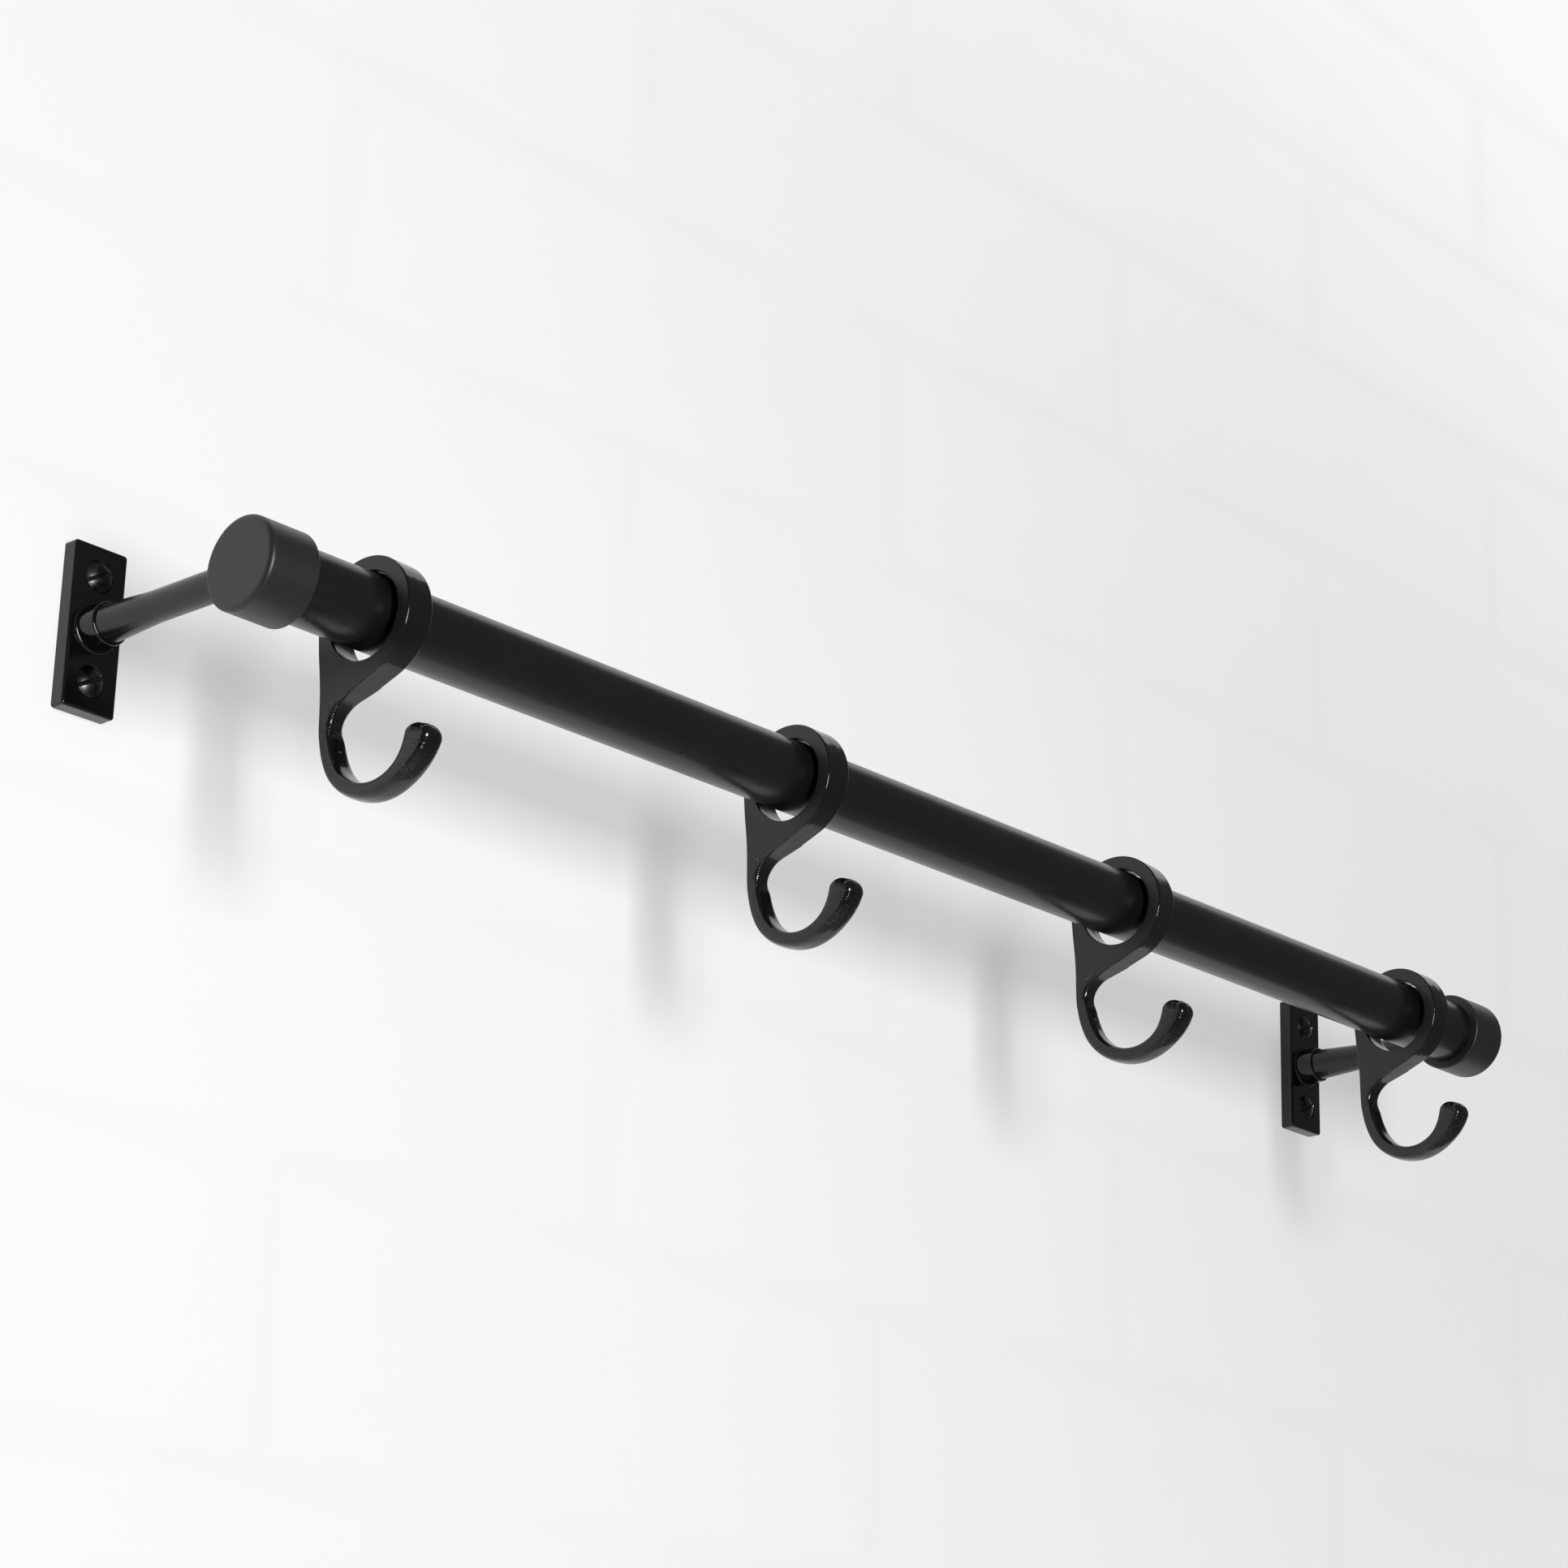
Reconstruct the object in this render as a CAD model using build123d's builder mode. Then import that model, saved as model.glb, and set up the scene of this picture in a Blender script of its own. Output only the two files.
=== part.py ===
from build123d import *
import os
from math import cos, radians, sin, tan

os.makedirs("parts", exist_ok=True)

# Wall-mounted hanging rail: a tube between two brackets, with four ring hooks that slide on it.
# X runs along the rail, Y into the wall and Z up. The wall plane is Y = 0, and the origin lies
# on it in the middle of the four wall screws. Sizes are in millimetres.

# Rail
overall_length = 516.0  # over the outer faces of the two end caps
rail_diameter = 19.0
rail_wall = 1.5
rail_standoff = 64.7  # from the wall to the middle of the rail

# End caps
cap_diameter = 24.0
cap_length = 15.0
cap_end_wall = 2.0
cap_outer_rounding = 1.4
cap_inner_rounding = 0.6

# Bracket stems
stem_inset = 6.1  # from a cap's outer face to the middle of its stem
stem_diameter = 8.0
stem_foot_diameter = 9.8
stem_flare_length = 17.0
stem_flare_blend = 45.0
spigot_diameter = 6.0
spigot_reach = 1.0  # how far the spigot stands inside the tube

# Wall plates
plate_width = 15.9
plate_height = 43.0
plate_thickness = 4.4
plate_corner_radius = 0.9
plate_edge_rounding = 0.7
boss_foot_diameter = 13.3
boss_diameter = 12.0
boss_rim_diameter = 11.0
boss_height = 6.0
boss_rim_rounding = 0.5
socket_depth = 3.0

# Wall screws, slotted, raised countersunk, 4.2 by 32
wall_screw_pitch = 27.3
wall_screw_length = 32.0
wall_screw_diameter = 4.2  # over the thread, which begins at the wall
wall_screw_shank_diameter = 3.2
wall_screw_head_diameter = 8.0
wall_screw_point_length = 5.0
raised_head_height = 1.3
slot_width = 1.1
slot_depth = 1.3
slot_angle = 27.0  # seen from the room, anticlockwise from level
countersink_angle = 90.0  # of every screw head and its seat

# Stem screws, slotted, countersunk, M4 by 14
stem_screw_length = 14.0
stem_screw_diameter = 4.0
stem_screw_head_diameter = 7.6
stem_thread_depth = 10.0

# Fits
slip_clearance = 0.05  # a turned piece in its bore, on the radius
screw_clearance = 0.2  # a screw in its through hole, on the radius
seat_clearance = 0.02  # a countersunk head on its cone, and a thread in its tapped hole
hang_clearance = 0.15  # a ring hook over the rail

# Hooks
hook_ends = (-1, -1, 1, 1)  # the end of the rail that each hook's inset starts from
hook_insets = (42.4, 192.1, 183.2, 40.6)  # from the outer face of that end's cap
hook_turns = (3.5, 1.0, 5.5, 0.0)  # how far each ring stands turned on the rail, in degrees
hook_width = 8.2
ring_diameter = 30.3
ring_bore = 22.4
ring_swing = 18.0  # angle from upright at which the ring leans on the rail
neck_length = 26.6  # along the wall side, from the ring to where the bowl begins
neck_taper = 5.0  # lean of the neck's wall side
neck_thickness = 3.3
web_slope = 24.0
web_rounding = 7.5
bowl_entry_radius = 28.0
bowl_entry_turn = 12.0
bowl_radius = 14.9
bowl_turn = 145.0
bowl_thickness = 5.0
tip_width = 7.8
tip_thickness = 8.2
tip_rounding = 3.4
tip_land = 0.12  # flat left round the crown of the tip's dome
casting_rounding = 0.5
swell_start = 0.7  # share of the bowl's length where the tip begins to swell
rounding_share = 0.6  # share of its length by which the bowl's section is fully rounded
roundest_share = 0.45  # fully rounded edge, as a share of the section's thinner side
bowl_shares = (0.0, 0.2, 0.4, 0.6, 0.75, 0.88, 1.0)

# Places that follow from the sizes above
rail_radius = rail_diameter / 2
stem_radius = stem_diameter / 2
bracket_x = overall_length / 2 - stem_inset
sides = {"left": -1, "right": 1}
plate_front = -plate_thickness
boss_front = plate_front - boss_height
socket_floor = boss_front + socket_depth
cone_slope = tan(radians(countersink_angle / 2))


def rail_plane(x, direction=1):
    """A plane square to the rail at x, centred on the rail and looking along it."""
    return Plane(origin=(x, -rail_standoff, 0), x_dir=(0, 1, 0), z_dir=(direction, 0, 0))


def bracket_plane(x, y, direction=-1):
    """A plane parallel to the wall, centred on the bracket at x; -1 looks into the room."""
    return Plane(origin=(x, y, 0), x_dir=(1, 0, 0), z_dir=(0, direction, 0))


# Rail tube, with a cross hole at each end for the stem's spigot
rail_length = overall_length - 2 * (cap_end_wall + slip_clearance)

with BuildPart() as rail_tube:
    with BuildSketch(rail_plane(-rail_length / 2)):
        Circle(rail_radius)
        Circle(rail_radius - rail_wall, mode=Mode.SUBTRACT)
    extrude(amount=rail_length)
    with BuildSketch(bracket_plane(0, -rail_standoff, 1)):
        with GridLocations(2 * bracket_x, 0, 2, 1):
            Circle(spigot_diameter / 2 + slip_clearance)
    extrude(amount=rail_diameter, mode=Mode.SUBTRACT)
rail_tube.part.label = "rail_tube"
export_step(rail_tube.part, "parts/rail_tube.step")


# End caps: turned, bored blind for the tube, cross-drilled for the stem
for side_name, side in sides.items():
    with BuildPart() as end_cap:
        with BuildSketch(rail_plane(side * overall_length / 2, -side)):
            Circle(cap_diameter / 2)
        extrude(amount=cap_length)
        rims = end_cap.edges().filter_by(GeomType.CIRCLE).sort_by(Axis.X, reverse=side > 0)
        fillet(rims[0], cap_outer_rounding)
        rims = end_cap.edges().filter_by(GeomType.CIRCLE).sort_by(Axis.X, reverse=side > 0)
        fillet(rims[-1], cap_inner_rounding)
        with BuildSketch(rail_plane(side * (overall_length / 2 - cap_end_wall), -side)):
            Circle(rail_radius + slip_clearance)
        extrude(amount=cap_length, mode=Mode.SUBTRACT)
        with BuildSketch(bracket_plane(side * bracket_x, -rail_standoff, 1)):
            Circle(stem_radius + slip_clearance)
        extrude(amount=cap_diameter, mode=Mode.SUBTRACT)
    end_cap.part.label = f"end_cap_{side_name}"
    export_step(end_cap.part, f"parts/end_cap_{side_name}.step")


# Stems: turned round bars that flare towards the wall, with a spigot for the tube and a tapped foot
shoulder_y = -(rail_standoff - rail_radius - slip_clearance)
spigot_end_y = -(rail_standoff - rail_radius + rail_wall + spigot_reach)
foot_radius = stem_foot_diameter / 2

for side_name, side in sides.items():
    bracket_axis = Axis((side * bracket_x, 0, 0), (0, 1, 0))
    with BuildPart() as stem:
        with BuildSketch(Plane(origin=(side * bracket_x, 0, 0), x_dir=(1, 0, 0), z_dir=(0, 0, 1))):
            with BuildLine():
                Polyline(
                    (0, socket_floor),
                    (foot_radius, socket_floor),
                    (foot_radius, boss_front),
                    (stem_radius, boss_front - stem_flare_length),
                    (stem_radius, shoulder_y),
                    (spigot_diameter / 2, shoulder_y),
                    (spigot_diameter / 2, spigot_end_y),
                    (0, spigot_end_y),
                    close=True,
                )
            make_face()
            flare_start = (stem_radius, boss_front - stem_flare_length)
            fillet(vertices().sort_by_distance(flare_start)[0], stem_flare_blend)
        revolve(axis=bracket_axis)
        with BuildSketch(bracket_plane(side * bracket_x, socket_floor)):
            Circle(stem_screw_diameter / 2 + seat_clearance)
        extrude(amount=stem_thread_depth, mode=Mode.SUBTRACT)
    stem.part.label = f"stem_{side_name}"
    export_step(stem.part, f"parts/stem_{side_name}.step")


# Wall plates: cast, with a boss that holds the stem's foot and two countersunk screw holes
boss_blend = (boss_foot_diameter - boss_diameter) / 2

for side_name, side in sides.items():
    front_plane = bracket_plane(side * bracket_x, plate_front)
    back_plane = bracket_plane(side * bracket_x, 0, 1)
    with BuildPart() as wall_plate:
        with BuildSketch(back_plane):
            RectangleRounded(plate_width, plate_height, plate_corner_radius)
        extrude(amount=-plate_thickness)
        fillet(wall_plate.faces().sort_by(Axis.Y)[0].edges(), plate_edge_rounding)
        with BuildSketch(Plane(origin=(side * bracket_x, 0, 0), x_dir=(1, 0, 0), z_dir=(0, 0, 1))):
            with BuildLine():
                foot = RadiusArc(
                    (boss_foot_diameter / 2, plate_front),
                    (boss_diameter / 2, plate_front - boss_blend),
                    boss_blend,
                )
                wall_line = Line(foot @ 1, (boss_rim_diameter / 2, boss_front))
                Polyline(
                    wall_line @ 1,
                    (0, boss_front),
                    (0, plate_front + boss_blend),
                    (boss_foot_diameter / 2, plate_front + boss_blend),
                    foot @ 0,
                )
            make_face()
        revolve(axis=Axis((side * bracket_x, 0, 0), (0, 1, 0)))
        rim = wall_plate.edges().filter_by(GeomType.CIRCLE).sort_by(Axis.Y)[0]
        fillet(rim, boss_rim_rounding)
        with BuildSketch(bracket_plane(side * bracket_x, boss_front, 1)):
            Circle(stem_foot_diameter / 2 + slip_clearance)
        extrude(amount=socket_depth, mode=Mode.SUBTRACT)
        with Locations(front_plane):
            with GridLocations(0, wall_screw_pitch, 1, 2):
                CounterSinkHole(
                    wall_screw_diameter / 2 + screw_clearance,
                    wall_screw_head_diameter / 2 + screw_clearance,
                    counter_sink_angle=countersink_angle,
                )
        with Locations(back_plane):
            CounterSinkHole(
                stem_screw_diameter / 2 + screw_clearance,
                stem_screw_head_diameter / 2 + screw_clearance,
                counter_sink_angle=countersink_angle,
            )
    wall_plate.part.label = f"wall_plate_{side_name}"
    export_step(wall_plate.part, f"parts/wall_plate_{side_name}.step")


# Stem screws: driven from the back of each plate into the stem's foot
stem_head_radius = stem_screw_head_diameter / 2
stem_shank_radius = stem_screw_diameter / 2
stem_head_y = seat_clearance - screw_clearance / cone_slope
stem_cone_end_y = stem_head_y - (stem_head_radius - stem_shank_radius) / cone_slope

for side_name, side in sides.items():
    screw_axis = Axis((side * bracket_x, 0, 0), (0, 1, 0))
    with BuildPart() as stem_screw:
        with BuildSketch(Plane(origin=(side * bracket_x, 0, 0), x_dir=(1, 0, 0), z_dir=(0, 0, 1))):
            with BuildLine():
                Polyline(
                    (0, stem_head_y),
                    (stem_head_radius, stem_head_y),
                    (stem_shank_radius, stem_cone_end_y),
                    (stem_shank_radius, stem_head_y - stem_screw_length),
                    (0, stem_head_y - stem_screw_length),
                    close=True,
                )
            make_face()
        revolve(axis=screw_axis)
        with BuildSketch(bracket_plane(side * bracket_x, stem_head_y)):
            Rectangle(stem_screw_head_diameter, slot_width)
        extrude(amount=slot_depth, mode=Mode.SUBTRACT)
    stem_screw.part.label = f"stem_screw_{side_name}"
    export_step(stem_screw.part, f"parts/stem_screw_{side_name}.step")


# Wall screws: slotted, with a raised countersunk head and a point
head_radius = wall_screw_head_diameter / 2
shank_radius = wall_screw_shank_diameter / 2
thread_radius = wall_screw_diameter / 2
dome_radius = (head_radius**2 + raised_head_height**2) / (2 * raised_head_height)
head_rim_y = plate_front + screw_clearance / cone_slope - seat_clearance
head_cone_end_y = head_rim_y + (head_radius - shank_radius) / cone_slope
screw_end_y = head_rim_y + wall_screw_length
heights = {"upper": 1, "lower": -1}

for side_name, side in sides.items():
    for height_name, height in heights.items():
        screw_x = side * bracket_x
        screw_z = height * wall_screw_pitch / 2
        with BuildPart() as wall_screw:
            with BuildSketch(Plane(origin=(screw_x, 0, screw_z), x_dir=(1, 0, 0), z_dir=(0, 0, 1))):
                with BuildLine():
                    dome_top = (0, head_rim_y - raised_head_height)
                    dome = RadiusArc(dome_top, (head_radius, head_rim_y), -dome_radius)
                    Polyline(
                        dome @ 1,
                        (shank_radius, head_cone_end_y),
                        (shank_radius, 0),
                        (thread_radius, 0),
                        (thread_radius, screw_end_y - wall_screw_point_length),
                        (0, screw_end_y),
                        dome_top,
                    )
                make_face()
            revolve(axis=Axis((screw_x, 0, screw_z), (0, 1, 0)))
            slot_plane = Plane(
                origin=(screw_x, head_rim_y - raised_head_height, screw_z),
                x_dir=(cos(radians(slot_angle)), 0, sin(radians(slot_angle))),
                z_dir=(0, 1, 0),
            )
            with BuildSketch(slot_plane):
                Rectangle(wall_screw_head_diameter, slot_width)
            extrude(amount=slot_depth, mode=Mode.SUBTRACT)
        wall_screw.part.label = f"wall_screw_{side_name}_{height_name}"
        export_step(wall_screw.part, f"parts/wall_screw_{side_name}_{height_name}.step")


# Hook casting, drawn about the rail's axis: a flat ring and neck that run into a rounded bowl
ring_radius = ring_diameter / 2
bore_radius = ring_bore / 2
ring_drop = bore_radius - rail_radius - hang_clearance
ring_y = -ring_drop * sin(radians(ring_swing))
ring_z = -ring_drop * cos(radians(ring_swing))
taper = radians(neck_taper)
slope = radians(web_slope)

# The neck's wall side leaves the ring at a tangent and leans in by the taper; the neck ends square
wall_tangent = Vector(ring_radius * cos(taper), -ring_radius * sin(taper))
neck_heading = Vector(-sin(taper), -cos(taper))
neck_across = Vector(cos(taper), -sin(taper))
neck_outer = wall_tangent + neck_heading * neck_length
neck_inner = neck_outer - neck_across * neck_thickness
neck_middle = (neck_outer + neck_inner) / 2
# The web's room side leaves the ring at a tangent too and runs down to meet the neck's inner side
room_tangent = Vector(-ring_radius * sin(slope), -ring_radius * cos(slope))
room_to_neck = neck_inner - room_tangent
neck_inner_length = -(room_to_neck.X * sin(slope) + room_to_neck.Y * cos(slope)) / cos(slope - taper)
web_corner = neck_inner - neck_heading * neck_inner_length


def bowl_section(share):
    """Width, thickness and edge radius of the bowl at a share of its length."""
    growth = max(0.0, (share - swell_start) / (1 - swell_start))
    swell = growth**2 * (3 - 2 * growth)
    thickness = neck_thickness + (bowl_thickness - neck_thickness) * min(share / swell_start, 1.0)
    thickness = thickness + (tip_thickness - bowl_thickness) * swell
    width = hook_width + (tip_width - hook_width) * share
    roundest = roundest_share * min(width, thickness)
    edge_radius = casting_rounding + (roundest - casting_rounding) * min(share / rounding_share, 1.0)
    return width, thickness, edge_radius


hook_frame = Plane(origin=(0, ring_y, ring_z), x_dir=(0, 1, 0), z_dir=(1, 0, 0))

with BuildLine(hook_frame) as bowl_path:
    entry = JernArc(
        (neck_middle.X, neck_middle.Y),
        (neck_heading.X, neck_heading.Y),
        bowl_entry_radius,
        -bowl_entry_turn,
    )
    JernArc(entry @ 1, entry % 1, bowl_radius, -bowl_turn)
bowl_curve = bowl_path.wire()

with BuildPart() as hook_casting:
    with BuildSketch(hook_frame):
        with BuildLine():
            Polyline(
                (0, 0),
                wall_tangent,
                neck_outer,
                neck_inner,
                web_corner,
                room_tangent,
                close=True,
            )
        make_face()
        fillet(vertices().sort_by_distance(web_corner)[0], web_rounding)
        Circle(ring_radius)
        Circle(bore_radius, mode=Mode.SUBTRACT)
    extrude(amount=hook_width / 2, both=True)
    # The rims of the two flat sides are eased, except where the bowl grows from the neck
    rims = hook_casting.faces().filter_by(Axis.X).edges()
    neck_ends = rims.group_by(Axis.Z)[0]
    fillet([edge for edge in rims if edge not in neck_ends], casting_rounding)
    for share in bowl_shares:
        width, thickness, edge_radius = bowl_section(share)
        place = Plane(origin=bowl_curve @ share, x_dir=(1, 0, 0), z_dir=bowl_curve % share)
        with BuildSketch(place):
            RectangleRounded(width, thickness, edge_radius)
    loft()
    # The swollen end runs straight for the depth of its rounding, which closes it in a dome
    extrude(hook_casting.faces().sort_by_distance(bowl_curve @ 1)[0], amount=tip_rounding)
    tip_end = hook_casting.faces().sort_by_distance(bowl_curve @ 1 + (bowl_curve % 1) * tip_rounding)
    fillet(tip_end[0].edges(), tip_rounding - tip_land)

# Four like castings, each at its own station and turned a little on the rail, as they hang
for number, (end, inset, turn) in enumerate(zip(hook_ends, hook_insets, hook_turns), 1):
    station = end * (overall_length / 2 - inset)
    with BuildPart() as hook:
        with Locations(Location((station, -rail_standoff, 0), (0, 0, turn))):
            add(hook_casting.part)
    hook.part.label = f"hook_{number}"
    export_step(hook.part, f"parts/hook_{number}.step")
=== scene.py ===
"""Hanging rail with two brackets and four sliding ring hooks, in black paint on a white wall."""

import logging
import math
from dataclasses import dataclass, field
from enum import Enum
from typing import Any, Mapping, Protocol, Sequence

import bmesh
import bpy
import numpy as np
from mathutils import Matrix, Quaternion, Vector


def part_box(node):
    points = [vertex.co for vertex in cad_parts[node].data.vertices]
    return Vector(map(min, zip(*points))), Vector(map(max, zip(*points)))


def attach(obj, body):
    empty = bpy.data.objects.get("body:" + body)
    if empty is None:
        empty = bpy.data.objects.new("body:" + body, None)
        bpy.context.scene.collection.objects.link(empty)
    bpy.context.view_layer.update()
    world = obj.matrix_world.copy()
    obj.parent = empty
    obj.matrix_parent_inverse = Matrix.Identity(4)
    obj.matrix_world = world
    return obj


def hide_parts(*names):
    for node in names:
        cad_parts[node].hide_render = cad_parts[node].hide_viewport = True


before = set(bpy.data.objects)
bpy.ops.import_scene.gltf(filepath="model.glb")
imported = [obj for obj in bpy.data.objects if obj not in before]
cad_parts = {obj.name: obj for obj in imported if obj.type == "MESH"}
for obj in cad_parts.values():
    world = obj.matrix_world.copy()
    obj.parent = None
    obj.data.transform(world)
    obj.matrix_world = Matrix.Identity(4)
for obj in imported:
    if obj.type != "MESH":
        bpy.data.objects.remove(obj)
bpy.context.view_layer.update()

LOG = logging.getLogger("hanging_rail")
RAIL_BODY = "rail_assembly"
MILLIMETRE = 0.001
ARC_STEP = 0.15 * MILLIMETRE
TINY = 0.001 * MILLIMETRE

Number = "Channel | float"


class Side(Enum):
    """The two ends of the rail."""

    LEFT = "left"
    RIGHT = "right"


class Height(Enum):
    """The two wall screws of a bracket."""

    UPPER = "upper"
    LOWER = "lower"


class Channel:
    """A number in a shader that takes part in Python arithmetic by adding Math nodes."""

    def __init__(self, graph: "ShaderGraph", socket: bpy.types.NodeSocket) -> None:
        """Wraps one output socket of a graph.

        Args:
            graph: the graph that the socket belongs to.
            socket: the output socket to wrap.
        """
        self.graph = graph
        self.socket = socket

    def _with(self, operation: str, first: Number, second: Number = 0.0) -> "Channel":
        """Adds one Math node.

        Args:
            operation: the node's operation.
            first: its first value.
            second: its second value.

        Returns:
            The node's result.
        """
        node = self.graph.node("ShaderNodeMath", {"operation": operation}, {0: first, 1: second})
        return Channel(self.graph, node.outputs[0])

    def __add__(self, other: Number) -> "Channel":
        """Self plus other."""
        return self._with("ADD", self, other)

    def __sub__(self, other: Number) -> "Channel":
        """Self minus other."""
        return self._with("SUBTRACT", self, other)

    def __rsub__(self, other: Number) -> "Channel":
        """Other minus self."""
        return self._with("SUBTRACT", other, self)

    def __mul__(self, other: Number) -> "Channel":
        """Self times other."""
        return self._with("MULTIPLY", self, other)

    def __truediv__(self, other: Number) -> "Channel":
        """Self divided by other."""
        return self._with("DIVIDE", self, other)

    def __abs__(self) -> "Channel":
        """Self without its sign."""
        return self._with("ABSOLUTE", self)

    def smallest(self, other: Number) -> "Channel":
        """The smaller of self and other."""
        return self._with("MINIMUM", self, other)

    def between(self, low: float, high: float) -> "Channel":
        """A smooth step from 0 at low to 1 at high.

        Args:
            low: the value that gives 0.
            high: the value that gives 1.

        Returns:
            The step as a channel.
        """
        settings = {"interpolation_type": "SMOOTHSTEP"}
        node = self.graph.node(
            "ShaderNodeMapRange", settings, {"Value": self, "From Min": low, "From Max": high}
        )
        return Channel(self.graph, node.outputs["Result"])


class ShaderGraph:
    """A node tree with one way to add a node and short names for the usual inputs."""

    def __init__(self, tree: bpy.types.NodeTree) -> None:
        """Takes a tree and empties it.

        Args:
            tree: the node tree of a material or a world.
        """
        self.tree = tree
        tree.nodes.clear()

    def node(
        self,
        kind: str,
        settings: Mapping[str, Any] | None = None,
        inputs: Mapping[str | int, Any] | None = None,
    ) -> bpy.types.Node:
        """Adds a node, sets it up and fills its sockets.

        Args:
            kind: the node's type.
            settings: attributes of the node, set before its sockets.
            inputs: values, channels or output sockets by socket name or place.

        Returns:
            The new node.
        """
        node = self.tree.nodes.new(kind)
        for name, value in (settings or {}).items():
            setattr(node, name, value)
        for name, value in (inputs or {}).items():
            if isinstance(value, Channel):
                self.tree.links.new(value.socket, node.inputs[name])
            elif isinstance(value, bpy.types.NodeSocket):
                self.tree.links.new(value, node.inputs[name])
            else:
                node.inputs[name].default_value = value
        return node

    def place(self) -> bpy.types.NodeSocket:
        """The surface point in the object's own coordinates, in metres."""
        return self.node("ShaderNodeTexCoord").outputs["Object"]

    def facing(self) -> bpy.types.NodeSocket:
        """The surface normal in the object's own coordinates."""
        return self.node("ShaderNodeTexCoord").outputs["Normal"]

    def axes(self, vector: bpy.types.NodeSocket) -> tuple[Channel, Channel, Channel]:
        """The three numbers of a vector.

        Args:
            vector: an output socket that gives a vector.

        Returns:
            Its x, y and z.
        """
        node = self.node("ShaderNodeSeparateXYZ", inputs={"Vector": vector})
        return tuple(Channel(self, node.outputs[axis]) for axis in "XYZ")

    def stretched(
        self, vector: bpy.types.NodeSocket, scale: Sequence[float]
    ) -> bpy.types.NodeSocket:
        """A vector multiplied axis by axis.

        Args:
            vector: the vector to stretch.
            scale: the factor for each axis.

        Returns:
            The stretched vector.
        """
        node = self.node(
            "ShaderNodeVectorMath", {"operation": "MULTIPLY"}, {0: vector, 1: tuple(scale)}
        )
        return node.outputs["Vector"]

    def noise(self, vector: bpy.types.NodeSocket, size: float, detail: float = 2.0) -> Channel:
        """Soft noise around 0.5.

        Args:
            vector: where the noise is read.
            size: the size of its largest lumps, in metres.
            detail: how many finer layers it has.

        Returns:
            The noise, from 0 to 1.
        """
        node = self.node(
            "ShaderNodeTexNoise", inputs={"Vector": vector, "Scale": 1.0 / size, "Detail": detail}
        )
        return Channel(self, node.outputs["Fac"])

    def blend(self, mask: Number, first: Sequence[float], second: Sequence[float]) -> Any:
        """A colour between two colours.

        Args:
            mask: 0 for the first colour, 1 for the second.
            first: the first colour.
            second: the second colour.

        Returns:
            The mixed colour's socket.
        """
        node = self.node(
            "ShaderNodeMix",
            {"data_type": "RGBA"},
            {"Factor": mask, 6: (*first, 1.0), 7: (*second, 1.0)},
        )
        return node.outputs[2]

    def relief(self, height: Channel, depth: float, strength: float = 1.0) -> bpy.types.NodeSocket:
        """A normal bent by a height.

        Args:
            height: the height, from 0 to 1.
            depth: what a height of 1 is worth, in metres.
            strength: how much of the bend is used.

        Returns:
            The normal's socket.
        """
        node = self.node(
            "ShaderNodeBump", inputs={"Height": height, "Distance": depth, "Strength": strength}
        )
        return node.outputs["Normal"]

    def surface(self, shader: bpy.types.NodeSocket) -> None:
        """Makes a shader the material's surface."""
        self.node("ShaderNodeOutputMaterial", inputs={"Surface": shader})


class Finish(Protocol):
    """A finish that makes its own material."""

    def material(self) -> bpy.types.Material:
        """The finish as a Blender material."""


def painted(name: str) -> tuple[bpy.types.Material, ShaderGraph]:
    """Starts a material that uses nodes.

    Args:
        name: the material's name.

    Returns:
        The material and its empty graph.
    """
    material = bpy.data.materials.new(name)
    material.use_nodes = True
    return material, ShaderGraph(material.node_tree)


@dataclass(frozen=True)
class SatinPaint:
    """Black satin paint on smooth drawn tube and turned caps."""

    name: str = "satin_black_paint"
    dark: tuple[float, float, float] = (0.0045, 0.0045, 0.0047)
    light: tuple[float, float, float] = (0.0070, 0.0070, 0.0072)
    roughness: float = 0.26
    roughness_spread: float = 0.08
    cloud_size: float = 0.020
    peel_size: float = 0.0011
    peel_depth: float = 0.000012
    speck_size: float = 0.0022
    speck_depth: float = 0.00003
    speck_range: tuple[float, float] = (0.78, 0.86)

    def material(self) -> bpy.types.Material:
        """Fine orange peel, a few dust specks under the paint and a cloudy sheen."""
        material, graph = painted(self.name)
        place = graph.place()
        clouds = graph.noise(place, self.cloud_size, 4.0)
        peel = graph.noise(place, self.peel_size)
        specks = graph.noise(place, self.speck_size, 0.0).between(*self.speck_range)
        height = peel + specks * (self.speck_depth / self.peel_depth)
        shader = graph.node(
            "ShaderNodeBsdfPrincipled",
            inputs={
                "Base Color": graph.blend(clouds, self.dark, self.light),
                "Roughness": (clouds - 0.5) * self.roughness_spread + self.roughness,
                "Normal": graph.relief(height, self.peel_depth),
            },
        )
        graph.surface(shader.outputs[0])
        return material


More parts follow.
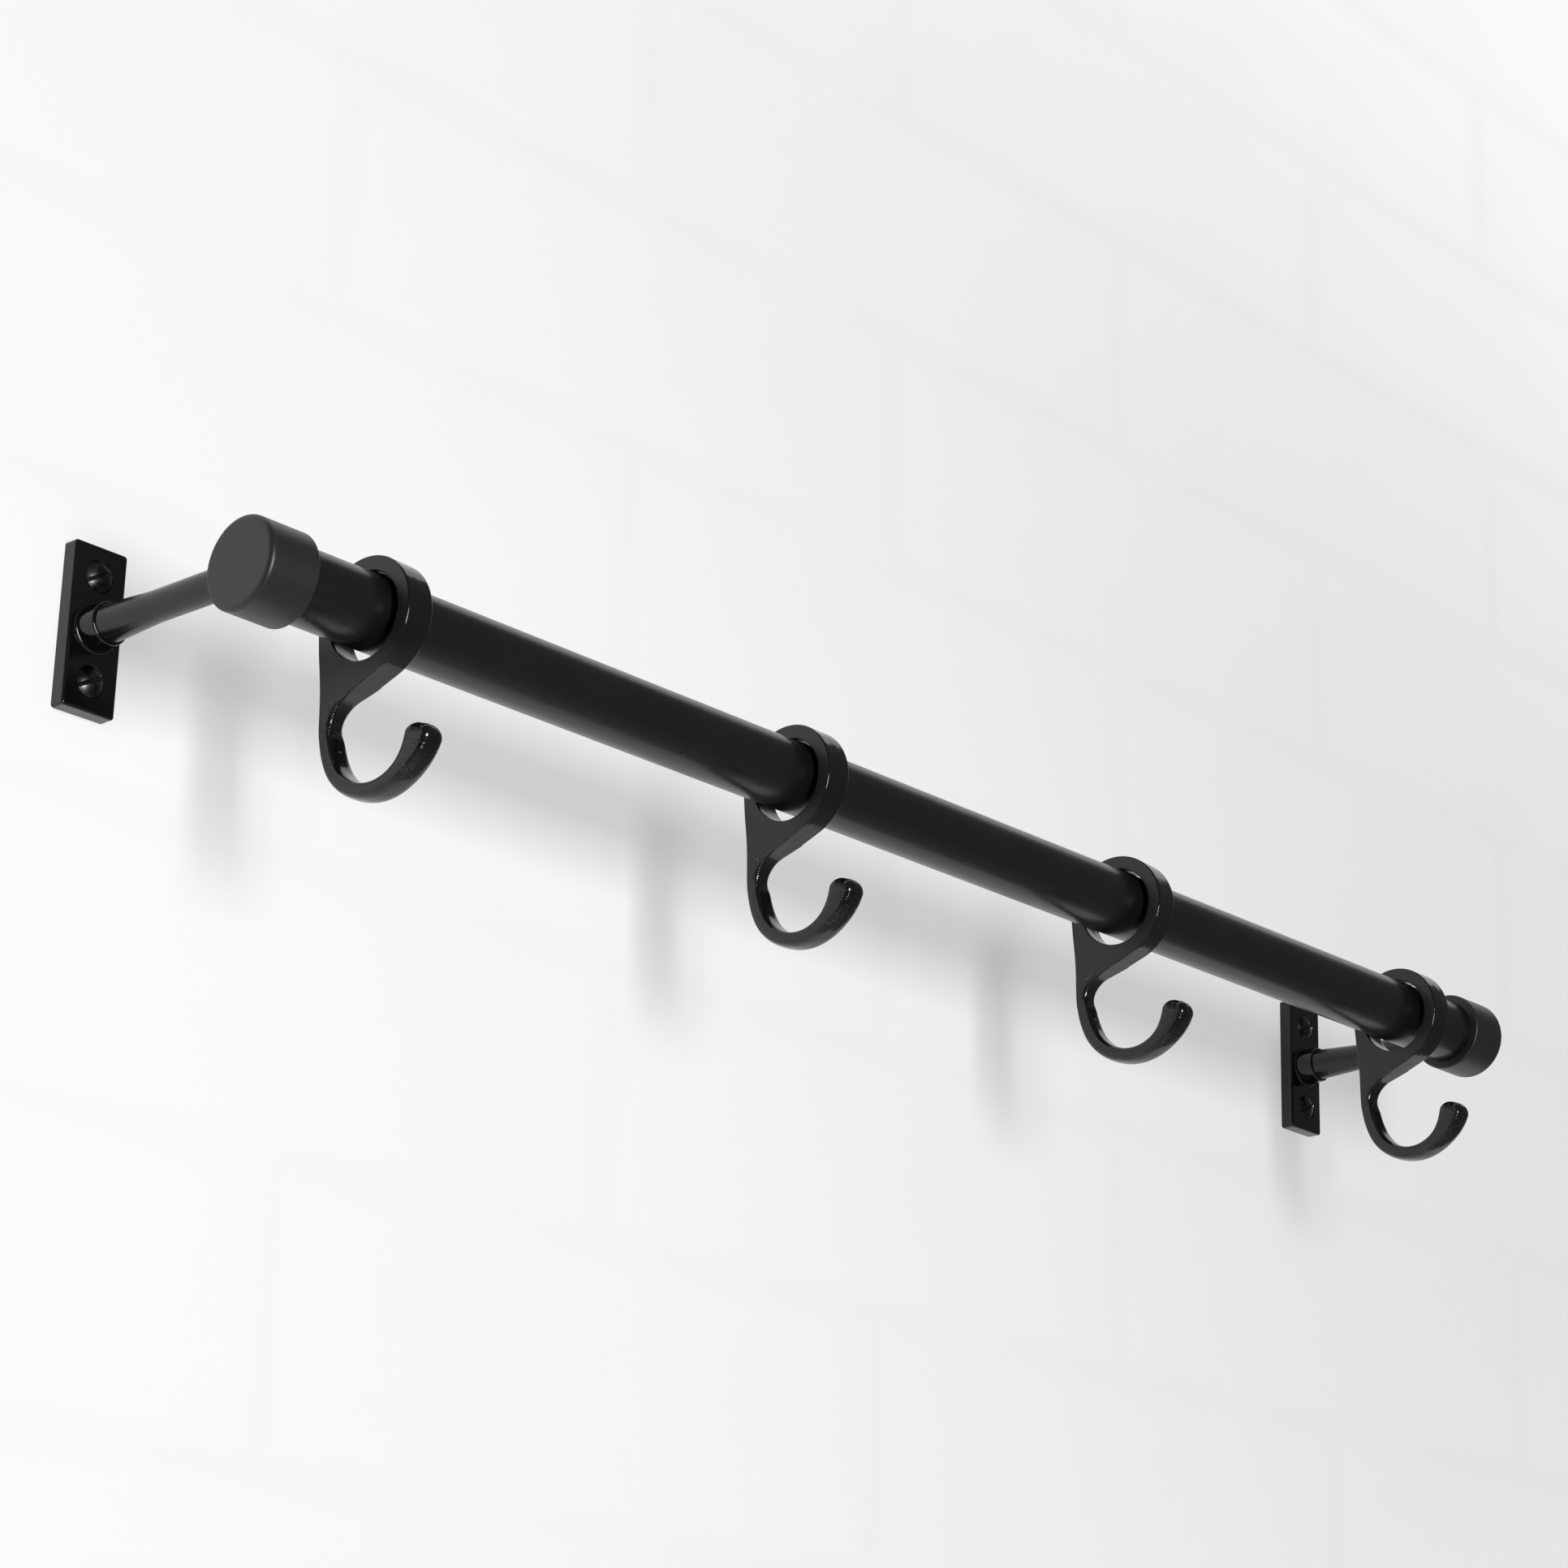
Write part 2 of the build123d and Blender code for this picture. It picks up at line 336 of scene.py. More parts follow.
@dataclass(frozen=True)
class GlossEnamel:
    """Deep gloss black enamel on the machined plates."""

    name: str = "gloss_black_enamel"
    dark: tuple[float, float, float] = (0.0020, 0.0020, 0.0021)
    light: tuple[float, float, float] = (0.0040, 0.0040, 0.0041)
    roughness: float = 0.13
    roughness_spread: float = 0.06
    cloud_size: float = 0.012
    peel_size: float = 0.0016
    peel_depth: float = 0.00001
    pit_size: float = 0.0013
    pit_depth: float = 0.00004
    pit_range: tuple[float, float] = (0.80, 0.87)

    def material(self) -> bpy.types.Material:
        """Thick paint with a faint orange peel and scattered pin holes."""
        material, graph = painted(self.name)
        place = graph.place()
        clouds = graph.noise(place, self.cloud_size, 3.0)
        peel = graph.noise(place, self.peel_size)
        pits = graph.noise(place, self.pit_size, 0.0).between(*self.pit_range)
        height = peel - pits * (self.pit_depth / self.peel_depth)
        shader = graph.node(
            "ShaderNodeBsdfPrincipled",
            inputs={
                "Base Color": graph.blend(clouds, self.dark, self.light),
                "Roughness": (clouds - 0.5) * self.roughness_spread + self.roughness,
                "Normal": graph.relief(height, self.peel_depth),
            },
        )
        graph.surface(shader.outputs[0])
        return material


@dataclass(frozen=True)
class CastEnamel:
    """Black enamel over a sand casting: flat ground flanks lightened by a painted sheen, wavy
    streaked skin round the rims.
    """

    name: str = "black_enamel_on_casting"
    dark: tuple[float, float, float] = (0.0025, 0.0025, 0.0026)
    light: tuple[float, float, float] = (0.0055, 0.0055, 0.0057)
    # Lighter colour of the flat flanks: a painted sheen for the grey they reflect from the room.
    flank_painted_sheen: tuple[float, float, float] = (0.0150, 0.0150, 0.0154)
    roughness: float = 0.12
    roughness_spread: float = 0.08
    flank_roughness: float = 0.34
    flank_range: tuple[float, float] = (0.80, 0.97)
    flank_flatness: float = 0.85
    cloud_size: float = 0.009
    grain_size: float = 0.0012
    grain_depth: float = 0.000005
    wave_size: float = 0.0065
    wave_depth: float = 0.00020
    streak_size: float = 0.0024
    streak_stretch: float = 0.22
    streak_depth: float = 0.00014

    def material(self) -> bpy.types.Material:
        """Streaks run along the rims, where the mould's skin shows through the paint."""
        material, graph = painted(self.name)
        place = graph.place()
        sideways, _, _ = graph.axes(graph.facing())
        flank = abs(sideways).between(*self.flank_range)
        clouds = graph.noise(place, self.cloud_size, 3.0)
        grain = graph.noise(place, self.grain_size)
        waves = graph.noise(place, self.wave_size, 1.0)
        along = graph.stretched(place, (1.0, self.streak_stretch, self.streak_stretch))
        streaks = graph.noise(along, self.streak_size, 3.0)
        skin = waves * self.wave_depth + streaks * self.streak_depth
        skin = skin * (1.0 - flank * self.flank_flatness)
        height = (skin + grain * self.grain_depth) / self.wave_depth
        gloss = (clouds - 0.5) * self.roughness_spread + self.roughness
        rough = flank * (self.flank_roughness - self.roughness) + gloss
        rim_colour = graph.blend(clouds, self.dark, self.light)
        # The flanks' lighter colour is painted sheen, mixed in where the surface faces sideways.
        colour = graph.node(
            "ShaderNodeMix",
            {"data_type": "RGBA"},
            {"Factor": flank * (clouds * 0.5 + 0.5), 6: rim_colour, 7: (*self.flank_painted_sheen, 1.0)},
        )
        shader = graph.node(
            "ShaderNodeBsdfPrincipled",
            inputs={
                "Base Color": colour.outputs[2],
                "Roughness": rough,
                "Normal": graph.relief(height, self.wave_depth),
            },
        )
        graph.surface(shader.outputs[0])
        return material


@dataclass(frozen=True)
class BlackedSteel:
    """Chemically blacked steel of the screws, rubbed brighter where a driver has turned."""

    name: str = "blacked_steel"
    dark: tuple[float, float, float] = (0.030, 0.030, 0.032)
    light: tuple[float, float, float] = (0.110, 0.108, 0.105)
    worn_range: tuple[float, float] = (0.35, 0.75)
    roughness: float = 0.27
    roughness_spread: float = 0.12
    brush_size: float = 0.0009
    brush_stretch: float = 0.18
    brush_depth: float = 0.000012
    cloud_size: float = 0.003

    def material(self) -> bpy.types.Material:
        """Fine turning marks under a patchy dark film."""
        material, graph = painted(self.name)
        place = graph.place()
        clouds = graph.noise(place, self.cloud_size, 4.0)
        brushed = graph.stretched(place, (1.0, 1.0, self.brush_stretch))
        marks = graph.noise(brushed, self.brush_size, 3.0)
        shader = graph.node(
            "ShaderNodeBsdfPrincipled",
            inputs={
                "Base Color": graph.blend(clouds.between(*self.worn_range), self.dark, self.light),
                "Metallic": 1.0,
                "Roughness": (marks - 0.5) * self.roughness_spread + self.roughness,
                "Normal": graph.relief(marks, self.brush_depth),
            },
        )
        graph.surface(shader.outputs[0])
        return material


def added(name: str, data: bpy.types.ID) -> bpy.types.Object:
    """Puts a new object into the scene.

    Args:
        name: the object's name.
        data: its mesh, light or camera.

    Returns:
        The object.
    """
    thing = bpy.data.objects.new(name, data)
    bpy.context.scene.collection.objects.link(thing)
    return thing


def dress(node: str, material: bpy.types.Material) -> None:
    """Gives a CAD node one material.

    Args:
        node: the node's name.
        material: what all of its faces get.
    """
    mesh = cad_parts[node].data
    mesh.materials.clear()
    mesh.materials.append(material)
    LOG.info("%s wears %s", node, material.name)


@dataclass
class ScrewThread:
    """The raised helix that is cut on a wall screw's threaded part."""

    screw: str
    root_radius: float = 2.1 * MILLIMETRE
    crest: float = 0.32 * MILLIMETRE
    pitch: float = 1.8 * MILLIMETRE
    foot: float = 0.9 * MILLIMETRE
    sunk_share: float = 0.15
    first: float = 1.5 * MILLIMETRE
    taper: float = 5.0 * MILLIMETRE
    steps_per_turn: int = 28

    def radius(self, depth: float, tip: float) -> float:
        """The screw's radius at a depth behind the wall's face.

        Args:
            depth: the distance behind the wall's face.
            tip: the depth of the screw's tip.

        Returns:
            The radius, in metres.
        """
        return self.root_radius * min(1.0, (tip - depth) / self.taper)

    def build(self, material: bpy.types.Material) -> bpy.types.Object:
        """Sweeps a three-sided ridge round the screw, from the wall's face to near its tip.

        Args:
            material: the thread's finish.

        Returns:
            The thread as a mesh object that rides with the rail.
        """
        low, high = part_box(self.screw)
        axis = ((low + high) / 2).xz  # its y is the height
        tip = high.y
        length = tip - 2 * self.foot - self.first
        count = int(length / self.pitch * self.steps_per_turn)
        points: list[tuple[float, float, float]] = []
        for step in range(count + 1):
            angle = 2 * math.pi * step / self.steps_per_turn
            depth = self.first + self.pitch * step / self.steps_per_turn
            fade = min(1.0, step / self.steps_per_turn, (count - step) / self.steps_per_turn)
            radius = self.radius(depth, tip)
            sunk = -self.sunk_share * radius
            rows = ((-self.foot / 2, sunk), (0.0, self.crest * fade), (self.foot / 2, sunk))
            for shift, lift in rows:
                reach = radius + lift
                across, up = reach * math.cos(angle), reach * math.sin(angle)
                points.append((axis.x + across, depth + shift, axis.y + up))
        faces = [
            (3 * step + corner, 3 * step + 3 + corner, 3 * step + 3 + after, 3 * step + after)
            for step in range(count)
            for corner, after in ((0, 1), (1, 2), (2, 0))
        ]
        faces += [(0, 1, 2), (3 * count + 2, 3 * count + 1, 3 * count)]
        mesh = bpy.data.meshes.new(self.screw + "_thread")
        mesh.from_pydata(points, [], faces)
        mesh.materials.append(material)
        thread = added(self.screw + "_thread", mesh)
        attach(thread, RAIL_BODY)
        LOG.info("%s has %d faces", thread.name, len(faces))
        return thread


@dataclass
class Rail:
    """The tube and its two caps."""

    finish: Finish = field(default_factory=SatinPaint)
    # The caps are rougher than the tube, which is their own finish; their lighter colour is a
    # painted sheen for the room's grey reflected in their flat ends.
    cap_finish: Finish = field(
        default_factory=lambda: SatinPaint(
            name="satin_black_caps",
            dark=(0.012, 0.012, 0.0122),
            light=(0.016, 0.016, 0.0163),
            roughness=0.40,
        )
    )

    def build(self) -> None:
        """Dresses the tube and the caps."""
        dress("rail_tube", self.finish.material())
        cap_material = self.cap_finish.material()
        for side in Side:
            dress(f"end_cap_{side.value}", cap_material)


@dataclass
class Bracket:
    """A wall plate with its stem and screws."""

    side: Side
    plate_material: bpy.types.Material
    stem_material: bpy.types.Material
    screw_material: bpy.types.Material

    def build(self) -> None:
        """Dresses the bracket's solids and cuts the wall screws' threads."""
        side = self.side.value
        dress(f"wall_plate_{side}", self.plate_material)
        dress(f"stem_{side}", self.stem_material)
        dress(f"stem_screw_{side}", self.screw_material)
        for height in Height:
            screw = f"wall_screw_{side}_{height.value}"
            dress(screw, self.screw_material)
            ScrewThread(screw).build(self.screw_material)


class Centreline:
    """A smooth line through a hook's arm, made of arcs that follow each other."""

    def __init__(
        self, start: tuple[float, float], heading: float, parts: Sequence[tuple[float, float]]
    ) -> None:
        """Lays the arcs end to end.

        Args:
            start: the first point, across and up, from the ring's middle.
            heading: the direction there, in degrees.
            parts: the length and the turn to the right of each part, in degrees.
        """
        points, headings, lengths = [np.array(start)], [math.radians(heading)], [0.0]
        for length, turn in parts:
            count = max(2, int(length / ARC_STEP))
            step, bend = length / count, -math.radians(turn) / count
            for _ in range(count):
                middle = headings[-1] + bend / 2
                points.append(points[-1] + step * np.array([math.cos(middle), math.sin(middle)]))
                headings.append(headings[-1] + bend)
                lengths.append(lengths[-1] + step)
        self.points = np.array(points)
        self.headings = np.array(headings)
        self.lengths = np.array(lengths)

    @property
    def length(self) -> float:
        """The whole length."""
        return float(self.lengths[-1])

    def nearest(self, places: np.ndarray, on_first: np.ndarray) -> tuple[np.ndarray, np.ndarray]:
        """Finds where places lie along the line and beside it.

        Args:
            places: points, across and up.
            on_first: which of them are measured on the first point's tangent.

        Returns:
            The length along the line, and the distance to its left.
        """
        gaps = places[:, None, :] - self.points[None, :, :]
        index = (gaps**2).sum(2).argmin(1)
        index[on_first] = 0
        heading = self.headings[index]
        gap = places - self.points[index]
        ahead = gap[:, 0] * np.cos(heading) + gap[:, 1] * np.sin(heading)
        beside = gap[:, 1] * np.cos(heading) - gap[:, 0] * np.sin(heading)
        inner = (index > 0) & (index < len(self.lengths) - 1)
        return self.lengths[index] + np.where(inner, 0.0, ahead), beside

    def place(self, along: np.ndarray, beside: np.ndarray) -> np.ndarray:
        """Turns lengths along the line and distances beside it back into points.

        Args:
            along: the length along the line, which may lie before its start or past its end.
            beside: the distance to its left.

        Returns:
            The points, across and up.
        """
        held = np.clip(along, 0.0, self.length)
        heading = np.interp(held, self.lengths, self.headings)
        across = np.interp(held, self.lengths, self.points[:, 0])
        up = np.interp(held, self.lengths, self.points[:, 1])
        past = along - held
        across = across + past * np.cos(heading) - beside * np.sin(heading)
        up = up + past * np.sin(heading) + beside * np.cos(heading)
        return np.stack([across, up], 1)


def eased(values: np.ndarray, low: float, high: float) -> np.ndarray:
    """A smooth step from 0 at low to 1 at high.

    Args:
        values: the numbers to step.
        low: the value that gives 0.
        high: the value that gives 1.

    Returns:
        The steps.
    """
    share = np.clip((values - low) / (high - low), 0.0, 1.0)
    return share * share * (3.0 - 2.0 * share)


def along_shares(knots: Sequence[float], share: np.ndarray) -> np.ndarray:
    """Runs smoothly through values that stand at even shares of a length.

    Args:
        knots: the values.
        share: where each result is read, from 0 to 1.

    Returns:
        The values there.
    """
    row = np.asarray(knots, float)
    reach = np.clip(share, 0.0, 1.0) * (len(row) - 1)
    index = np.clip(np.floor(reach).astype(int), 0, len(row) - 2)
    part = reach - index
    before, first = row[np.maximum(index - 1, 0)], row[index]
    second, after = row[index + 1], row[np.minimum(index + 2, len(row) - 1)]
    cubic = 3 * (first - second) + after - before
    square = 2 * before - 5 * first + 4 * second - after
    return first + 0.5 * part * (second - before + part * (square + part * cubic))


@dataclass(frozen=True)
class SolidArm:
    """The arm as the CAD solid has it, from the start level down to the tip."""

    ring_radius: float = 15.15 * MILLIMETRE
    taper: float = 5.0
    neck_length: float = 26.6 * MILLIMETRE
    neck_thickness: float = 3.3 * MILLIMETRE
    entry: tuple[float, float] = (28.0 * MILLIMETRE, 12.0)
    bowl: tuple[float, float] = (14.9 * MILLIMETRE, 145.0)
    bowl_thickness: float = 5.0 * MILLIMETRE
    tip_thickness: float = 8.2 * MILLIMETRE
    width: float = 8.2 * MILLIMETRE
    tip_width: float = 7.8 * MILLIMETRE
    swell_start: float = 0.7
    web_slope: float = 24.0
    web_rounding: float = 7.5 * MILLIMETRE

    def room_side(self, below: float) -> Centreline:
        """The web's side towards the room, from the ring down into the throat.

        Args:
            below: how far the line goes on past the web's rounding.

        Returns:
            The line, with the casting on its left.
        """
        lean, slope = math.radians(self.taper), math.radians(self.web_slope)
        inset = self.ring_radius - self.neck_thickness
        start = np.array([-math.sin(slope), -math.cos(slope)]) * self.ring_radius
        inner = np.array([math.cos(lean), -math.sin(lean)]) * inset
        inner = inner - np.array([math.sin(lean), math.cos(lean)]) * self.neck_length
        gap = inner - start
        down = -(gap[0] * math.sin(slope) + gap[1] * math.cos(slope)) / math.cos(slope - lean)
        corner = inner + np.array([math.sin(lean), math.cos(lean)]) * down
        turn = 90.0 + self.taper - self.web_slope
        tangent = self.web_rounding * math.tan(math.radians(turn / 2))
        straight = float(np.linalg.norm(corner - start)) - tangent
        parts = [(straight, 0.0), (self.web_rounding * math.radians(turn), turn), (below, 0.0)]
        return Centreline(tuple(start), -self.web_slope, parts)

    def line(self, level: float) -> tuple[Centreline, float]:
        """The arm's centreline from a level below the ring's middle.

        Args:
            level: the height of its first point.

        Returns:
            The line, and the length of its straight first part.
        """
        lean = math.radians(self.taper)
        inset = self.ring_radius - self.neck_thickness / 2
        across = inset * math.cos(lean) - self.neck_length * math.sin(lean)
        up = -inset * math.sin(lean) - self.neck_length * math.cos(lean)
        straight = (level - up) / math.cos(lean)
        start = (across + straight * math.sin(lean), level)
        arcs = [(radius * math.radians(turn), turn) for radius, turn in (self.entry, self.bowl)]
        return Centreline(start, -90.0 - self.taper, [(straight, 0.0), *arcs]), straight

    def section(self, share: np.ndarray) -> tuple[np.ndarray, np.ndarray]:
        """The width and thickness at shares of the bowl's length.

        Args:
            share: the shares, 0 where the bowl begins and 1 at its end.

        Returns:
            The widths and the thicknesses.
        """
        held = np.clip(share, 0.0, 1.0)
        grown = self.bowl_thickness - self.neck_thickness
        swell = self.tip_thickness - self.bowl_thickness
        thickness = self.neck_thickness + grown * np.minimum(held / self.swell_start, 1.0)
        thickness = thickness + swell * eased(held, self.swell_start, 1.0)
        return self.width + (self.tip_width - self.width) * held, thickness


@dataclass(frozen=True)
class CastArm:
    """The arm as it was cast, with widths and thicknesses in millimetres from throat to tip."""

    level: float = -24.0 * MILLIMETRE
    start: float = 12.56 * MILLIMETRE
    taper: float = 2.5
    entry: tuple[float, float] = (29.7 * MILLIMETRE, 23.6)
    bowl: tuple[float, float] = (15.1 * MILLIMETRE, 136.3)
    widths: tuple[float, ...] = (5.9, 6.7, 7.5, 7.7, 7.6, 7.5)
    thicknesses: tuple[float, ...] = (3.1, 3.9, 4.4, 4.2, 4.9, 8.1)
    squareness: tuple[float, ...] = (7.0, 4.5, 3.0, 2.7, 2.9, 3.2)

    def line(self) -> Centreline:
        """The arm's centreline from the start level."""
        arcs = [(radius * math.radians(turn), turn) for radius, turn in (self.entry, self.bowl)]
        return Centreline((self.start, self.level), -90.0 - self.taper, arcs)


@dataclass
class HookCasting:
    """One ring hook: the CAD solid's ring, with its arm given the casting's own sections."""

    number: int
    station: float
    turn: float
    material: bpy.types.Material
    solid: SolidArm = field(default_factory=SolidArm)
    cast: CastArm = field(default_factory=CastArm)
    rail_out: float = 64.7 * MILLIMETRE
    ring_drop: float = 1.55 * MILLIMETRE
    ring_swing: float = 18.0
    web_floor: float = -16.5 * MILLIMETRE
    web_blend: float = 15.0 * MILLIMETRE
    narrowing: float = 19.0 * MILLIMETRE
    rounding: float = 7.0 * MILLIMETRE
    dome_power: float = 2.27
    throat_radius: float = 2.3 * MILLIMETRE
    throat_start: float = 3.0 * MILLIMETRE
    throat_end: float = 4.5 * MILLIMETRE
    rim_reach: float = 0.1 * MILLIMETRE
    fine_below: float = -4.0 * MILLIMETRE
    fine_rounds: int = 7
    longest_edge: float = 0.7 * MILLIMETRE
    sharp_angle: float = 38.0

    def soften_throat(self, points: np.ndarray) -> np.ndarray:
        """Rounds the two edges of the web's room side more and more towards the throat.

        Args:
            points: sideways, across and up from the ring's middle.

        Returns:
            The points, with those near the two edges moved onto the rounding.
        """
        edge = self.solid.room_side(self.throat_end)
        along, inward = edge.nearest(points[:, 1:], points[:, 2] > -self.solid.ring_radius / 2)
        bend_end = edge.length - self.throat_end
        grown = eased(along, self.throat_start, bend_end)
        grown = grown * (1.0 - eased(along, bend_end, edge.length))
        radius = np.maximum(self.throat_radius * grown, TINY)
        from_flank = self.solid.width / 2 - np.abs(points[:, 0])
        near = (from_flank < radius) & (inward < radius) & (inward > -self.rim_reach)
        near &= (along > 0.0) & (along < edge.length)
        gap_side, gap_in = radius - from_flank, radius - inward
        pull = radius / np.maximum(np.hypot(gap_side, gap_in), TINY)
        side = np.sign(points[:, 0]) * (self.solid.width / 2 - radius + gap_side * pull)
        held = edge.place(along, radius - gap_in * pull)
        rounded = np.column_stack([side, held])
        return np.where(near[:, None], rounded, points)

    @staticmethod
    def norm(wide: np.ndarray, deep: np.ndarray, power: Any) -> np.ndarray:
        """How far out a point of a section lies, where 1 is on a superellipse of that power.

        Args:
            wide: the place across the section, in half widths.
            deep: the place through the section, in half thicknesses.
            power: 2 for an ellipse, more for a squarer section.

        Returns:
            The distance, as a share of the superellipse's own.
        """
        return (np.abs(wide) ** power + np.abs(deep) ** power) ** (1.0 / power)

    def reshape(self, points: np.ndarray) -> np.ndarray:
        """Moves the arm's points from the solid's sections to the casting's.

        Args:
            points: sideways, across and up from the ring's middle.

        Returns:
            The moved points.
        """
        old_line, straight = self.solid.line(self.cast.level)
        new_line = self.cast.line()
        side, flat = points[:, 0], points[:, 1:]
        along, beside = old_line.nearest(flat, flat[:, 1] > self.web_floor)
        bowl_share = (along - straight) / (old_line.length - straight)
        old_width, old_thickness = self.solid.section(bowl_share)
        share = along / old_line.length
        width = along_shares(self.cast.widths, share) * MILLIMETRE
        thickness = along_shares(self.cast.thicknesses, share) * MILLIMETRE
        power = along_shares(self.cast.squareness, share)
        wide, deep = side / (old_width / 2), beside / (old_thickness / 2)
        scaled_side = wide * width / 2
        scaled_beside = beside + np.clip(deep, -1.0, 1.0) * (thickness - old_thickness) / 2
        reach = np.maximum(self.norm(wide, deep, power), 0.001)
        # Past the arm's end the solid's dome keeps its own height, and only its corners fill out
        height = np.where(along > old_line.length, self.norm(wide, deep, self.dome_power), 1.0)
        oval = eased(along, 0.0, self.rounding)
        new_side = scaled_side + oval * (wide * height / reach * width / 2 - scaled_side)
        new_beside = scaled_beside + oval * (deep * height / reach * thickness / 2 - scaled_beside)
        past = np.where(share > 1.0, along - old_line.length, 0.0)
        past = past + np.where(share < 0.0, along, 0.0)
        new_along = np.clip(share, 0.0, 1.0) * new_line.length + past
        arm = eased(along, -self.web_blend, 0.0)[:, None]
        moved = flat + arm * (new_line.place(new_along, new_beside) - flat)
        slim = eased(along, -self.narrowing, 0.0)
        return np.column_stack([side + slim * (new_side - side), moved])

    def refined(self) -> bmesh.types.BMesh:
        """The CAD mesh with its flat sides divided finely enough to bend."""
        mesh = bmesh.new()
        mesh.from_mesh(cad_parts[f"hook_{self.number}"].data)
        bmesh.ops.remove_doubles(mesh, verts=mesh.verts, dist=TINY)
        for _ in range(self.fine_rounds):
            long = [
                edge
                for edge in mesh.edges
                if edge.calc_length() > self.longest_edge
                and min(vert.co.z for vert in edge.verts) < self.fine_below
            ]
            if not long:
                break
            bmesh.ops.subdivide_edges(mesh, edges=long, cuts=1)
            bmesh.ops.triangulate(mesh, faces=[face for face in mesh.faces if len(face.verts) > 3])
        return mesh

    def build(self) -> bpy.types.Object:
        """Makes the casting and lets it stand for its CAD solid.

        Returns:
            The casting as a mesh object that rides with its hook.
        """
        name = f"hook_{self.number}"
        mesh = self.refined()
        world = np.array([vert.co for vert in mesh.verts])
        turn, swing = math.radians(self.turn), math.radians(self.ring_swing)
        ring_across = -self.ring_drop * math.sin(swing)
        ring_up = -self.ring_drop * math.cos(swing)
        aside, out = world[:, 0] - self.station, world[:, 1] + self.rail_out
        side = aside * math.cos(turn) + out * math.sin(turn)
        across = out * math.cos(turn) - aside * math.sin(turn)
        local = np.column_stack([side, across - ring_across, world[:, 2] - ring_up])
        side, across, up = self.reshape(self.soften_throat(local)).T
        across = across + ring_across
        placed = np.column_stack(
            [
                side * math.cos(turn) - across * math.sin(turn) + self.station,
                side * math.sin(turn) + across * math.cos(turn) - self.rail_out,
                up + ring_up,
            ]
        )
        for vert, place in zip(mesh.verts, placed):
            vert.co = place
        data = bpy.data.meshes.new(name + "_casting")
        mesh.to_mesh(data)
        mesh.free()
        data.materials.append(self.material)
        data.polygons.foreach_set("use_smooth", [True] * len(data.polygons))
        data.set_sharp_from_angle(angle=math.radians(self.sharp_angle))
        casting = added(name + "_casting", data)
        even = casting.modifiers.new("even_normals", "WEIGHTED_NORMAL")
        even.keep_sharp = True
        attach(casting, name + "_body")
        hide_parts(name)
        LOG.info("%s has %d faces", casting.name, len(data.polygons))
        return casting


@dataclass
class RingHooks:
    """The four cast hooks that slide on the rail."""

    stations: tuple[float, ...] = (-215.6, -65.9, 74.8, 217.4)
    turns: tuple[float, ...] = (3.5, 1.0, 5.5, 0.0)
    finish: Finish = field(default_factory=CastEnamel)

    def build(self) -> None:
        """Casts every hook in the same enamel."""
        material = self.finish.material()
        for number, (station, turn) in enumerate(zip(self.stations, self.turns), 1):
            HookCasting(number, station * MILLIMETRE, turn, material).build()


